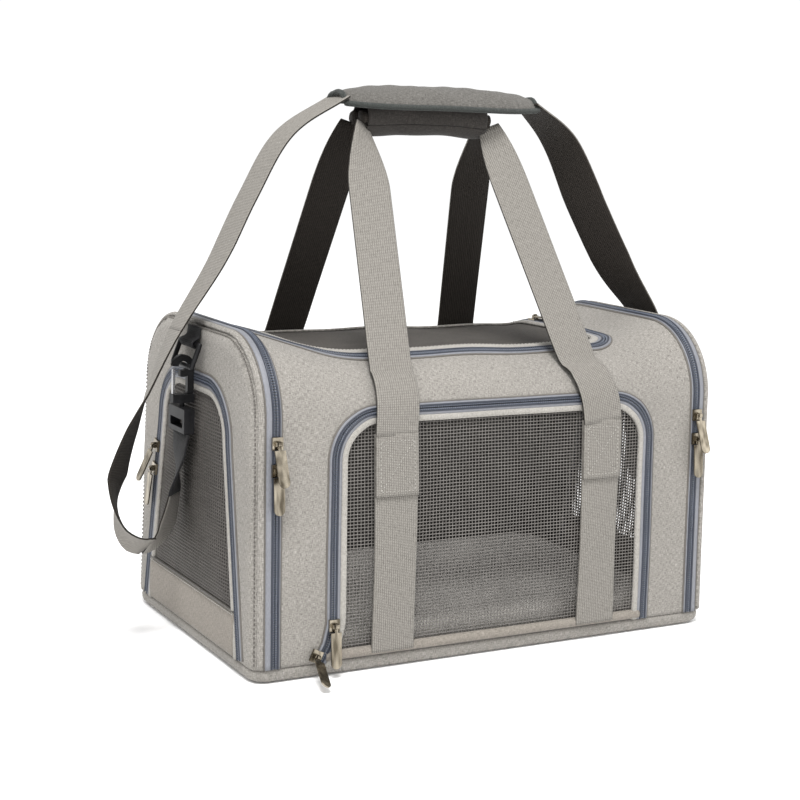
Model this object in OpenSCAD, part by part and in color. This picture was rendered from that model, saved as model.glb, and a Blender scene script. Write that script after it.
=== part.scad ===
// Soft-sided pet carrier bag: fabric tube with zipped mesh doors on the front, top and both ends,
// two carrying handles gathered in a grip wrap, and a shoulder strap on snap hooks.
// X runs along the bag, -Y is the front, Z is up; the origin is under the middle of the base.

/* [Bag] */
// Length between the two end panels
bag_l = 440; // [400:5:480]
// Width from front to back at the base
bag_w = 254; // [240:2:270]
// Height of the stiffened ends
bag_h = 268; // [256:2:276]
// How far the top sags between the ends
top_sag = 18; // [14:1:20]
// How far each side wall leans in at its top
wall_lean = 8; // [4:1:12]
// Depth of the padded end that zips off the tube
end_depth = 18; // [16:1:30]
// Thickness of the padded fabric
skin = 4; // [3:0.5:5]

/* [Doors] */
// Half width of the front door
front_half = 152; // [140:1:156]
// Height of the front door's top edge
front_top = 210; // [200:1:214]
// Radius of the front door's top corners
front_r = 38; // [25:1:45]
// Middle of the bag to the top door's right edge
top_right = 148; // [130:1:150]
// Middle of the bag to the top door's left edge
top_left = 164; // [130:1:165]
// Front edge of the top door
top_front = -78; // [-79:1:-60]
// Hinged back edge of the top door
top_back = 90; // [84:1:92]
// Half width of an end door at its foot
end_foot_half = 102; // [90:1:104]
// Half width of an end door under its top curve
end_head_half = 72; // [60:1:80]
// Height of an end door's top edge
end_top = 224; // [210:1:225]

/* [Handles and strap] */
// Width of the webbing
web_w = 38; // [30:1:40]
// Half distance between the two legs of a handle where they are sewn
leg_half = 99; // [90:1:104]
// Half distance between the legs under the grip
leg_top_half = 80; // [76:1:86]
// Height of the seam where a handle leg comes free
leg_seam = 192; // [185:1:196]
// Height of the grip's middle
grip_z = 428; // [400:2:450]
// Length of the grip wrap
wrap_l = 146; // [120:2:150]
// Length of the shoulder pad
pad_l = 188; // [160:2:200]

/* [Hardware] */
// Width of a zipper pull
pull_w = 9; // [6:0.5:9]
// Length of a zipper pull
pull_l = 34; // [26:1:36]
// Wire diameter of a strap ring
ring_wire = 4; // [3:0.5:5]

/* [Hidden] */

$fn = 48;
big = 400;              // longer than any cut needs
half_l = bag_l / 2;
half_w = bag_w / 2;
tube_half = half_l - end_depth;
wall_z = bag_h - 64;    // where a side wall turns into the rounded top edge
mid_h = bag_h - top_sag;
edge_run = 64;          // how far the rounded top edge reaches in from the wall
base_r = 14;            // roll of the fabric at the base
base_top = 12;          // height of the base tray, where the doors are hinged
mesh_t = 2;
tape_t = 1.5;           // how far zipper tape and binding stand proud
tape_w = 6;
seam_gap = 0.8;         // running gap between the two halves of a zipper
bind_w = 15;            // zipper tape and binding round a door's mesh
web_t = 2;
rise_start = 172;       // where the sagging top starts to rise to the stiff ends
rise_steps = 6;         // each step is lower than the skin is thick, so the steps close up
arc_n = 10;
board_t = 4;
mat_t = 16;
layer = 0.4;            // clearance between webbing that isn't sewn together
post_half = bag_w / 2 - wall_lean;

fabric_grey = [0.70, 0.68, 0.65];
web_grey = [0.66, 0.64, 0.61];
mesh_grey = [0.36, 0.34, 0.32];
tape_blue = [0.55, 0.58, 0.68];
nickel = [0.82, 0.77, 0.68];
black = [0.08, 0.08, 0.09];
dark_grey = [0.34, 0.32, 0.31];

// ---------- outlines ----------
function arc(c, rx, ry, a0, a1, n) =
    [for (i = [0:n]) let (a = a0 + (a1 - a0) * i / n) [c[0] + rx * cos(a), c[1] + ry * sin(a)]];

// Section across the bag as [y, z] points, moved in by d; h is the height of its top.
function section(d, h) = concat(
    arc([-(half_w - base_r), base_r], base_r - d, base_r - d, 270, 180, 4),
    arc([-(post_half - edge_run), wall_z], edge_run - d, h - wall_z - d, 180, 90, arc_n),
    arc([post_half - edge_run, wall_z], edge_run - d, h - wall_z - d, 90, 0, arc_n),
    arc([half_w - base_r, base_r], base_r - d, base_r - d, 0, -90, 4));

// Door outline with round top corners; its foot may be wider than its head.
function door_outline(foot, head, low, high, r, grow) = concat(
    [[-(foot + grow), low]],
    arc([-(head - r), high - r], r + grow, r + grow, 180, 90, arc_n),
    arc([head - r, high - r], r + grow, r + grow, 90, 0, arc_n),
    [[foot + grow, low]]);

// The front door's zipper turns outwards at its left foot.
foot_flare = 12;
flare_h = 24;
function front_outline(grow) = concat(
    [[-(front_half + foot_flare + grow), base_top + layer]],
    [[-(front_half + grow), base_top + layer + flare_h]],
    arc([-(front_half - front_r), front_top - front_r], front_r + grow, front_r + grow, 180, 90, arc_n),
    arc([front_half - front_r, front_top - front_r], front_r + grow, front_r + grow, 90, 0, arc_n),
    [[front_half + grow, base_top + layer]]);
function end_outline(grow) =
    door_outline(end_foot_half, end_head_half, base_top + 2, end_top, end_head_half * 0.6, grow);
left_r = 60;            // the top door's front corners
right_r = 34;
function top_outline(grow) = concat(
    [[top_right + grow, top_back]],
    [[-(top_left + grow), top_back]],
    arc([-(top_left - left_r), top_front + left_r], left_r + grow, left_r + grow, 180, 270, arc_n),
    arc([top_right - right_r, top_front + right_r], right_r + grow, right_r + grow, 270, 360, arc_n));

// ---------- placing ----------
module along_x(x0, x1) {
    translate([x0, 0, 0]) rotate([90, 0, 90]) linear_extrude(x1 - x0) children();
}
module along_y(y0, y1) {
    translate([0, y1, 0]) rotate([90, 0, 0]) linear_extrude(y1 - y0) children();
}
module along_z(z0, z1) {
    translate([0, 0, z0]) linear_extrude(z1 - z0) children();
}
module right_side() {
    mirror([1, 0, 0]) children();
}

// A layer of the bag's wall between depths d0 (outer) and d1 (inner).
module wall(x0, x1, d0, d1, h) {
    along_x(x0, x1) difference() {
        polygon(section(d0, h));
        polygon(section(d1, h));
    }
}
module front_cut(grow) {
    along_y(-big, -half_w / 2) polygon(front_outline(grow));
}
module top_cut(grow) {
    along_z(wall_z, big) polygon(top_outline(grow));
}
module end_cut(grow, x0, x1) {
    along_x(x0, x1) polygon(end_outline(grow));
}
module above_base() {
    translate([-big, -big, base_top + layer]) cube(2 * big);
}

// ---------- base ----------
module base_cover() {
    color(fabric_grey) intersection() {
        difference() {
            along_x(-half_l, half_l) polygon(section(0, bag_h));
            along_x(-half_l + skin, half_l - skin) polygon(section(skin, bag_h));
        }
        translate([-big, -big, 0]) cube([2 * big, 2 * big, base_top]);
    }
}
module base_board() {
    board_l = bag_l - 2 * skin - 8;
    board_w = bag_w - 2 * skin - 22;
    color(dark_grey) translate([-board_l / 2, -board_w / 2, skin]) cube([board_l, board_w, board_t]);
}
module floor_mat() {
    mat_half = tube_half - 12;
    mat_y = half_w - skin - 12;
    color([0.75, 0.74, 0.72]) along_z(skin + board_t, skin + board_t + mat_t)
        polygon(concat(
            arc([-(mat_half - 20), -(mat_y - 20)], 20, 20, 180, 270, 6),
            arc([mat_half - 20, -(mat_y - 20)], 20, 20, 270, 360, 6),
            arc([mat_half - 20, mat_y - 20], 20, 20, 0, 90, 6),
            arc([-(mat_half - 20), mat_y - 20], 20, 20, 90, 180, 6)));
}

// ---------- tube ----------
back_split = half_w - edge_run; // the back panel is everything behind this line under the top edge
module tube_wall() {
    step = (tube_half - rise_start) / rise_steps;
    wall(-rise_start, rise_start, 0, skin, mid_h);
    for (side = [0, 1], i = [1:rise_steps]) mirror([side, 0, 0])
        wall(rise_start + (i - 1) * step, rise_start + i * step, 0, skin, mid_h + i * top_sag / rise_steps);
}
module back_region() {
    translate([-big, back_split, 0]) cube([2 * big, big, wall_z]);
}
module shell_panel() {
    color(fabric_grey) difference() {
        intersection() {
            tube_wall();
            above_base();
        }
        back_region();
        front_cut(0);
        top_cut(0);
    }
}
module back_panel() {
    color(fabric_grey) intersection() {
        along_x(-tube_half, tube_half) difference() {
            polygon(section(0, mid_h));
            polygon(section(skin, mid_h));
        }
        above_base();
        back_region();
    }
}
// Spring wire inside the seam at each end of the tube keeps the arch open.
module wire_hoops() {
    wire_r = 1.2;
    for (side = [0, 1]) color("silver") mirror([side, 0, 0])
        translate([tube_half - 2 * wire_r - 2, 0, 0]) rotate([90, 0, 90]) linear_extrude(2 * wire_r)
            intersection() {
                difference() {
                    polygon(section(skin + 0.2, bag_h));
                    polygon(section(skin + 0.2 + 2 * wire_r, bag_h));
                }
                translate([-half_w, 26]) square([bag_w, bag_h]);
            }
}
module end_tracks() {
    for (side = [0, 1]) color(tape_blue) mirror([side, 0, 0]) intersection() {
        wall(tube_half - tape_w, tube_half, -tape_t, -0.01, bag_h);
        above_base();
    }
}
module front_track() {
    color(tape_blue) difference() {
        intersection() {
            wall(-tube_half, tube_half, -tape_t, 0, mid_h);
            front_cut(tape_w);
        }
        front_cut(0);
    }
}
module top_track() {
    color(tape_blue) difference() {
        intersection() {
            wall(-rise_start, rise_start, -tape_t, 0, mid_h);
            top_cut(tape_w);
        }
        top_cut(0);
    }
}

// ---------- webbing ----------
// Closed ribbon of thickness t on an open path of points.
function unit(v) = v / norm(v);
function path_dir(p, i) = unit(p[min(i + 1, len(p) - 1)] - p[max(i - 1, 0)]);
function ribbon(p, t) = let (n = len(p)) concat(
    [for (i = [0:n - 1]) p[i] + t / 2 * [-path_dir(p, i)[1], path_dir(p, i)[0]]],
    [for (j = [0:n - 1]) let (i = n - 1 - j) p[i] - t / 2 * [-path_dir(p, i)[1], path_dir(p, i)[0]]]);

sewn_d = -(tape_t + layer);      // inner face of webbing sewn over the zipper
function front_y(z) = -half_w + wall_lean * (z - base_r) / (wall_z - base_r);
module sewn_webbing() {
    for (side = [-1, 1]) intersection() {
        wall(-big, big, sewn_d - web_t, sewn_d, mid_h);
        translate([side * leg_half - web_w / 2, -big, base_top + 3])
            cube([web_w, big, leg_seam - base_top - 3]);
    }
}
module front_webbing() {
    color(web_grey) sewn_webbing();
}
module back_webbing() {
    color(web_grey) mirror([0, 1, 0]) sewn_webbing();
}

// A handle's loose leg leaves its seam, follows the round top edge and runs to the grip.
leg_d = tape_t + 2 * layer + 1.5 * web_t;  // middle of the loose webbing, out from the bag's wall
roll_r = 6;                       // webbing rolled up inside the grip
roll_y = 7.5;                     // each handle's roll beside the middle of the grip
leave_angle = 48;                 // where the leg leaves the round edge
leg_path = concat(
    [[front_y(leg_seam) - leg_d, leg_seam + 1]],
    arc([-(post_half - edge_run), wall_z], edge_run + leg_d, mid_h - wall_z + leg_d,
        180, 180 - leave_angle, 5),
    [[-roll_y - 3, grip_z - 3]]);
module handle_loop() {
    leg_outline = [
        [leg_half - web_w / 2, 0], [leg_half + web_w / 2, 0], [leg_half + web_w / 2, leg_seam + 45],
        [leg_top_half + 12, grip_z + 4], [wrap_l / 2 + 1, grip_z + 4], [wrap_l / 2 + 1, grip_z - 26],
        [leg_half - web_w / 2, leg_seam + 45]];
    for (side = [0, 1]) mirror([side, 0, 0]) intersection() {
        along_x(0, big) polygon(ribbon(leg_path, web_t));
        along_y(-big, big) polygon(leg_outline);
    }
    translate([-wrap_l / 2 - 10, -roll_y, grip_z]) rotate([0, 90, 0]) cylinder(r = roll_r, h = wrap_l + 20);
}
module front_handle() {
    color(web_grey) handle_loop();
}
module back_handle() {
    color(web_grey) mirror([0, 1, 0]) handle_loop();
}
// Soft sleeve round both rolls; its closing edge is open towards the front.
module grip_wrap() {
    wrap_out = 17;
    mouth_low = -7.5;
    mouth_high = 13;
    color(dark_grey) difference() {
        translate([-wrap_l / 2, 0, grip_z]) rotate([0, 90, 0]) cylinder(r = wrap_out, h = wrap_l);
        translate([-wrap_l, 0, grip_z]) rotate([0, 90, 0]) cylinder(r = wrap_out - 3, h = 2 * wrap_l);
        translate([-wrap_l, -big, grip_z + mouth_low]) cube([2 * wrap_l, big, mouth_high - mouth_low]);
    }
}
pad_shift = 4;
module shoulder_pad() {
    pad_z = grip_z + 17.4;
    pad_half_w = 26;
    color(dark_grey) along_x(pad_shift - pad_l / 2, pad_shift + pad_l / 2)
        polygon(concat([[-pad_half_w, pad_z]], arc([0, pad_z], pad_half_w, 13, 180, 0, arc_n),
            [[pad_half_w, pad_z]]));
}

// Shoulder strap: from the pad's end down outside the bag, round a loop and up to the hook.
ring_x = half_l + 5;
ring_bar_z = 252;
ring_drop = 19;
ring_tilt = 20;         // the hook's thickness holds the ring off the door
hook_x = ring_x + ring_drop * sin(ring_tilt);
left_strap = [
    [pad_l / 2 - pad_shift + 2, 447], [146, 414], [178, 366], [206, 314], [240, 262], [270, 214],
    [298, 166], [308, 134], [306, 106], [292, 88], [272, 86], [256, 98], [243, 122], [234, 150],
    [hook_x, 179]];
right_strap = [
    [pad_l / 2 + pad_shift + 2, 447], [134, 410], [166, 356], [200, 302], [232, 262], [250, 222],
    [262, 180], [266, 146], [264, 118], [256, 100], [246, 100], [238, 114], [236, 132], [233, 152],
    [hook_x, 179]];
module strap(path) {
    color(web_grey) along_y(-web_w / 2, web_w / 2) polygon(ribbon(path, web_t));
}
module strap_left() {
    mirror([1, 0, 0]) strap(left_strap);
}
module strap_right() {
    strap(right_strap);
}

// ---------- front and top doors ----------
mesh_inset = 2;         // the front mesh stops short of its binding, so that it clears the flared foot
module front_mesh() {
    color(mesh_grey) intersection() {
        wall(-tube_half, tube_half, 0, mesh_t, mid_h);
        front_cut(-mesh_inset);
    }
}
module front_binding() {
    color(fabric_grey) difference() {
        intersection() {
            wall(-tube_half, tube_half, -tape_t, 0, mid_h);
            front_cut(-seam_gap);
        }
        intersection() {
            front_cut(-bind_w);
            translate([-big, -big, base_top + bind_w]) cube(2 * big);
        }
    }
}
module top_mesh() {
    color(mesh_grey) intersection() {
        wall(-rise_start, rise_start, 0, mesh_t, mid_h);
        top_cut(-seam_gap);
        translate([-big, -big, 0]) cube([2 * big, big + top_back - seam_gap, big]);
    }
}
module top_binding() {
    color(fabric_grey) difference() {
        intersection() {
            wall(-rise_start, rise_start, -tape_t, 0, mid_h);
            top_cut(-seam_gap);
            translate([-big, -big, 0]) cube([2 * big, big + top_back - seam_gap, big]);
        }
        intersection() {
            top_cut(-bind_w);
            translate([-big, -big, 0]) cube([2 * big, big + top_back - bind_w, big]);
        }
    }
}

// ---------- ends: made for the right side, mirrored for the left ----------
module end_panel() {
    color(fabric_grey) difference() {
        intersection() {
            difference() {
                along_x(tube_half + seam_gap, half_l) polygon(section(0, bag_h));
                along_x(tube_half, half_l - skin) polygon(section(skin, bag_h));
            }
            above_base();
        }
        end_cut(0, tube_half, big);
    }
    color(tape_blue) intersection() {
        wall(tube_half + seam_gap, tube_half + seam_gap + tape_w, -tape_t, 0, bag_h);
        above_base();
    }
}
module end_door_track() {
    color(tape_blue) difference() {
        end_cut(tape_w, half_l, half_l + tape_t);
        end_cut(0, tube_half, big);
    }
}
module end_mesh() {
    color(mesh_grey) end_cut(-seam_gap, half_l - mesh_t, half_l);
}
module end_binding() {
    band_top = 38;
    color(fabric_grey) difference() {
        end_cut(-seam_gap, half_l, half_l + tape_t);
        intersection() {
            end_cut(-bind_w, tube_half, big);
            translate([0, -big, band_top]) cube(2 * big);
        }
    }
}
ring_half = 20;
module strap_tab() {
    tab_r = ring_wire / 2 + 2;
    color(black) difference() {
        union() {
            translate([half_l, -14, ring_bar_z]) cube([2.5, 28, 12]);
            translate([ring_x, -14, ring_bar_z]) rotate([-90, 0, 0]) cylinder(r = tab_r, h = 28);
        }
        translate([ring_x, -20, ring_bar_z]) rotate([-90, 0, 0]) cylinder(r = ring_wire / 2 + 0.3, h = 40);
    }
}
// D-ring: straight bar in the tab, two short arms and a lower bar.
module strap_ring() {
    r = ring_wire / 2;
    color(black) translate([ring_x, 0, ring_bar_z]) rotate([0, -ring_tilt, 0]) {
        for (z = [0, -ring_drop]) translate([0, -ring_half, z]) rotate([-90, 0, 0])
            cylinder(r = r, h = 2 * ring_half);
        for (y = [-ring_half, ring_half]) {
            translate([0, y, -ring_drop]) cylinder(r = r, h = ring_drop);
            for (z = [0, -ring_drop]) translate([0, y, z]) sphere(r = r);
        }
    }
}

// Snap hook hanging on the ring's lower bar, its gate, and the swivelling eye for the webbing.
hook_r = 6.5;       // middle radius of the hook's bow
hook_wire = 2.6;    // half the bow's width
hook_half = 2.4;    // half the bow's thickness
shank_z = 203;
bow_z = ring_bar_z - ring_drop * cos(ring_tilt) - 1;
module snap_hook() {
    outer = hook_r + hook_wire;
    color(black) translate([hook_x, 0, 0]) {
        difference() {
            along_y(-hook_half, hook_half) translate([0, bow_z]) difference() {
                circle(r = outer);
                circle(r = hook_r - hook_wire);
            }
            translate([hook_r - 4, -10, bow_z - 20]) cube([20, 20, 20]);
        }
        translate([-outer, -hook_half, shank_z + 6])
            cube([2 * hook_wire, 2 * hook_half, bow_z - shank_z - 6]);
        translate([-outer, -4, shank_z]) cube([2 * outer, 8, 7]);
        translate([0, 0, shank_z - 8]) cylinder(r = 2.2, h = 9);
        translate([0, 0, shank_z - 9.2]) cylinder(r = 4, h = 2.2);
    }
}
module snap_gate() {
    color(black) translate([hook_x + hook_r, -1.6, shank_z + 7.3]) cube([2, 3.2, bow_z - shank_z - 9.6]);
}
module snap_swivel() {
    eye_h = 20;
    color(black) translate([hook_x, 0, shank_z - 3.5 - eye_h]) difference() {
        translate([-4.5, -web_w / 2 + 2, 0]) cube([9, web_w - 4, eye_h]);
        translate([-10, -web_w / 2 + 6, 4]) cube([20, web_w - 12, 7]);
        translate([0, 0, eye_h - 6]) cylinder(r = 4.5, h = 3.2);
        translate([0, 0, eye_h - 6]) cylinder(r = 2.6, h = 20);
    }
}

module left_panel() { right_side() end_panel(); }
module left_door_track() { right_side() end_door_track(); }
module left_tab() { right_side() strap_tab(); }
module left_mesh() { right_side() end_mesh(); }
module left_binding() { right_side() end_binding(); }
module left_ring() { right_side() strap_ring(); }
module left_hook() { right_side() snap_hook(); }
module left_gate() { right_side() snap_gate(); }
module left_swivel() { right_side() snap_swivel(); }

// ---------- zipper sliders and pulls ----------
// Made facing -Y with the zipper along Z; lift is how far the tape stands out.
bar_out = 4.4;      // pull bar's height over the slider's foot
bar_r = 0.8;
module slider() {
    color(nickel) translate([0, -tape_t - 0.3, 0]) {
        translate([-4.5, -2.2, -5]) cube([9, 2.2, 10]);
        for (x = [-2.8, 1.8]) translate([x, -bar_out - bar_r, -1.6]) cube([1, bar_out + bar_r - 2.1, 3.2]);
        translate([-2.8, -bar_out, 0]) rotate([0, 90, 0]) cylinder(r = bar_r, h = 5.6);
    }
}
module pull(tilt) {
    eye = 1.3;
    color(nickel) translate([0, -tape_t - 0.3 - bar_out, 0]) rotate([-tilt, 0, 0]) {
        difference() {
            translate([-1.3, 0, 0]) rotate([0, 90, 0]) cylinder(r = eye + 0.8, h = 2.6);
            translate([-5, 0, 0]) rotate([0, 90, 0]) cylinder(r = eye, h = 10);
        }
        translate([-1.3, -0.6, -6]) cube([2.6, 1.2, 4.4]);
        translate([-pull_w / 2, -0.6, -pull_l + pull_w / 2]) cube([pull_w, 1.2, pull_l - pull_w / 2 - 5]);
        translate([0, 0.6, -pull_l + pull_w / 2]) rotate([90, 0, 0]) cylinder(d = pull_w, h = 1.2);
    }
}
// The wall leans, so hardware on it leans too.
lean_angle = atan(wall_lean / (wall_z - base_r));
module on_front(x, z) {
    translate([x, front_y(z), z]) rotate([-lean_angle, 0, 0]) children();
}
module on_right(y, z) {
    translate([half_l, y, z]) rotate([0, 0, 90]) children();
}
module on_left(y, z) {
    translate([-half_l, y, z]) rotate([0, 0, -90]) children();
}
pair_high = 190;        // upper slider of a pair on the bag's sides
pair_low = 169;
upper_tilt = 20;        // an upper pull lies over the slider below it
lower_tilt = 3;
end_zip_x = tube_half + seam_gap / 2;
front_zip_z = 42;
foot_zip_x = -167.5;    // the slider parked at the foot of the front zipper
foot_zip_z = 19;
foot_tilt = 62;         // its pull rests outwards, clear of the ground
foot_turn = 26;
door_lean = atan((end_foot_half - end_head_half) / (end_top - 0.6 * end_head_half - base_top - 2));
function door_edge_y(z) = end_foot_half - (z - base_top - 2) * tan(door_lean);
door_high = 152;
door_low = 131;
top_zip_y = 58;

module on_pair(side, z) { on_front(side * end_zip_x, z) children(); }
module on_foot() { on_front(foot_zip_x, foot_zip_z) rotate([0, foot_turn, 0]) children(); }
module on_left_door(z) { on_left(door_edge_y(z), z) rotate([0, door_lean, 0]) children(); }
module on_right_door(z) { on_right(door_edge_y(z), z) rotate([0, -door_lean, 0]) children(); }
module on_top() { translate([top_right, top_zip_y, mid_h]) rotate([-90, 0, 0]) children(); }

module left_slider_a() { on_pair(-1, pair_high) slider(); }
module left_pull_a() { on_pair(-1, pair_high) pull(upper_tilt); }
module left_slider_b() { on_pair(-1, pair_low) slider(); }
module left_pull_b() { on_pair(-1, pair_low) pull(lower_tilt); }
module right_slider_a() { on_pair(1, pair_high) slider(); }
module right_pull_a() { on_pair(1, pair_high) pull(upper_tilt); }
module right_slider_b() { on_pair(1, pair_low) slider(); }
module right_pull_b() { on_pair(1, pair_low) pull(lower_tilt); }
module front_slider_a() { on_front(-front_half, front_zip_z) slider(); }
module front_pull_a() { on_front(-front_half, front_zip_z) pull(lower_tilt); }
module front_slider_b() { on_foot() slider(); }
module front_pull_b() { on_foot() pull(foot_tilt); }
module top_slider() { on_top() slider(); }
module top_pull() { on_top() pull(lower_tilt); }
module left_door_slider_a() { on_left_door(door_high) slider(); }
module left_door_pull_a() { on_left_door(door_high) pull(upper_tilt); }
module left_door_slider_b() { on_left_door(door_low) slider(); }
module left_door_pull_b() { on_left_door(door_low) pull(lower_tilt); }
module right_door_slider() { on_right_door(door_high) slider(); }
module right_door_pull() { on_right_door(door_high) pull(lower_tilt); }

// ---------- output ----------
base_cover();
base_board();
floor_mat();
shell_panel();
back_panel();
wire_hoops();
end_tracks();
front_track();
top_track();
back_webbing();
strap_left();
strap_right();
left_panel();
left_door_track();
left_tab();
left_mesh();
left_binding();
left_ring();
left_hook();
left_gate();
left_swivel();
end_panel();  // right_panel
end_door_track();  // right_door_track
strap_tab();  // right_tab
end_mesh();  // right_mesh
end_binding();  // right_binding
strap_ring();  // right_ring
snap_hook();  // right_hook
snap_gate();  // right_gate
snap_swivel();  // right_swivel
front_mesh();
front_binding();
front_webbing();
front_handle();
back_handle();
grip_wrap();
shoulder_pad();
top_mesh();
top_binding();
left_slider_a();
left_pull_a();
left_slider_b();
left_pull_b();
right_slider_a();
right_pull_a();
right_slider_b();
right_pull_b();
front_slider_a();
front_pull_a();
front_slider_b();
front_pull_b();
top_slider();
top_pull();
left_door_slider_a();
left_door_pull_a();
left_door_slider_b();
left_door_pull_b();
right_door_slider();
right_door_pull();
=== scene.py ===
import math

import bmesh
import bpy
import numpy as np
from mathutils import Matrix, Vector
from mathutils.geometry import delaunay_2d_cdt


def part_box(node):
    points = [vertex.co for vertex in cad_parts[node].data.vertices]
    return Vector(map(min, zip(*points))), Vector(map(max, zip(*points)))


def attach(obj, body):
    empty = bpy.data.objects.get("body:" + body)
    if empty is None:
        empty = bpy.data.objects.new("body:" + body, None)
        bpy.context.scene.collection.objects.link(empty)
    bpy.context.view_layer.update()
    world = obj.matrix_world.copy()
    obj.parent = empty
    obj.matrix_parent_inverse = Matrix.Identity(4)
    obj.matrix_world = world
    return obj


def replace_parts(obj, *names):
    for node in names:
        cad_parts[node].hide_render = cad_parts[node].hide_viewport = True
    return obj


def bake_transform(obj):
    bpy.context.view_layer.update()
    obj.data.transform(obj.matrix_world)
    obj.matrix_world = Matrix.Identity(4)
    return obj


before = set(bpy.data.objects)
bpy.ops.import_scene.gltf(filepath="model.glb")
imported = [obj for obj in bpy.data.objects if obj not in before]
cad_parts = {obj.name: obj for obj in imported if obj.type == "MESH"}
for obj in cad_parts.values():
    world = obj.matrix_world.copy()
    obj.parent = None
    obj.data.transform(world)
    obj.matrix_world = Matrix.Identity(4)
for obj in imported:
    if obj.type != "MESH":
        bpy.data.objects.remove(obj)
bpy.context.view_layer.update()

# ---------- sizes shared with the CAD source ----------
TAPE_T = 0.0015
HALF_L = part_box("base_cover")[1][0]
HALF_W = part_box("base_cover")[1][1]
TUBE_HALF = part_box("back_panel")[1][0]
MID_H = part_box("top_mesh")[1][2]
BAG_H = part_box("left_panel")[1][2] - TAPE_T
BASE_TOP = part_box("base_cover")[1][2]
SAG = BAG_H - MID_H
WALL_LEAN = 0.008
BASE_R = 0.014
EDGE_RUN = 0.064
WALL_Z = BAG_H - 0.064
SEAM_GAP = 0.0008
FLAT_HALF = HALF_W - WALL_LEAN - EDGE_RUN      # the flat top reaches this far from the middle
WEB_W = 0.038
LEG_HALF = 0.099
LEG_SEAM = 0.192
GRIP_Z = 0.436
GRIP_ENDS = {-1: -0.080, 1: 0.044}     # where the handles gather, left and right
DOOR_HALF, DOOR_TOP, DOOR_R = 0.152, 0.210, 0.038
FLARE, FLARE_H = 0.012, 0.024          # the front door widens at its foot
FOOT_GAP = 0.0004
NET_EDGE = 0.0085                      # a net ends this far inside its door's outline
TOP_RIGHT, TOP_LEFT = 0.148, 0.164
TOP_FRONT, TOP_BACK = -0.078, 0.090
END_FOOT, END_HEAD, END_LOW, END_TOP = 0.102, 0.072, 0.014, 0.224
END_R = 0.6 * END_HEAD

# ---------- camera ----------


def make_camera():
    """A long lens from the front left, a little above, turned slightly about its own axis."""
    azimuth, elevation, roll = math.radians(-29.4), math.radians(9.8), math.radians(2.2)
    back = Vector((math.sin(azimuth) * math.cos(elevation),
                   -math.cos(azimuth) * math.cos(elevation), math.sin(elevation)))
    right = (-back).cross(Vector((0, 0, 1))).normalized()
    up = right.cross(-back)
    turned_right = math.cos(roll) * right + math.sin(roll) * up
    turned_up = math.cos(roll) * up - math.sin(roll) * right
    place = Matrix((turned_right, turned_up, back)).transposed().to_4x4()
    place.translation = Vector((0.0293, 0.1016, 0.1742)) + back * 1.59
    camera = bpy.data.objects.new("camera", bpy.data.cameras.new("camera"))
    camera.data.lens = 75.9
    camera.data.sensor_width = 36
    camera.matrix_world = place
    bpy.context.scene.collection.objects.link(camera)
    bpy.context.scene.camera = camera


make_camera()

# ---------- materials ----------


class Nodes:
    """Short calls for building one material's nodes."""

    def __init__(self, name):
        self.material = bpy.data.materials.new(name)
        self.material.use_nodes = True
        self.tree = self.material.node_tree
        self.shader = self.tree.nodes["Principled BSDF"]

    def add(self, kind, links=None, **values):
        node = self.tree.nodes.new(kind)
        for key, value in values.items():
            setattr(node, key, value)
        for socket, source in (links or {}).items():
            self.put(node.inputs[socket], source)
        return node

    def put(self, socket, source):
        if isinstance(source, bpy.types.NodeSocket):
            self.tree.links.new(source, socket)
        else:
            socket.default_value = source

    def place(self, woven, scale):
        """Coordinates in metres times scale: along the cloth if it is woven, else in the object."""
        if woven:
            source = self.add("ShaderNodeUVMap", uv_map="Weave").outputs["UV"]
        else:
            source = self.add("ShaderNodeTexCoord").outputs["Object"]
        return self.add("ShaderNodeMapping", {"Vector": source, "Scale": scale}).outputs["Vector"]

    def noise(self, vector, detail=3.0, scale=1.0):
        return self.add("ShaderNodeTexNoise",
                        {"Vector": vector, "Scale": scale, "Detail": detail}).outputs["Fac"]

    def wave(self, vector, direction, distortion=0.0):
        return self.add("ShaderNodeTexWave",
                        {"Vector": vector, "Scale": 1.0, "Distortion": distortion, "Detail Scale": 2.0},
                        bands_direction=direction).outputs["Fac"]

    def math(self, operation, a, b=0.0):
        return self.add("ShaderNodeMath", {0: a, 1: b}, operation=operation).outputs[0]

    def ramp(self, factor, stops):
        node = self.add("ShaderNodeValToRGB", {"Fac": factor})
        elements = node.color_ramp.elements
        while len(elements) < len(stops):
            elements.new(0.5)
        for element, (position, colour) in zip(elements, stops):
            element.position = position
            element.color = (*colour, 1)
        return node.outputs["Color"]

    def mix(self, factor, a, b, blend="MIX"):
        node = self.add("ShaderNodeMix", data_type="RGBA", blend_type=blend)
        self.put(node.inputs[0], factor)
        self.put(node.inputs[6], a)
        self.put(node.inputs[7], b)
        return node.outputs[2]

    def bump(self, height, distance, strength=1.0):
        node = self.add("ShaderNodeBump", {"Height": height, "Distance": distance, "Strength": strength})
        self.put(self.shader.inputs["Normal"], node.outputs["Normal"])

    def surface(self, sources):
        """Feeds the shader's sockets, from other nodes or with plain values."""
        for socket, source in sources.items():
            self.put(self.shader.inputs[socket], source)

    def span(self, factor, low, high):
        return self.add("ShaderNodeMapRange", {"Value": factor, "To Min": low, "To Max": high}).outputs[0]


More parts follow.
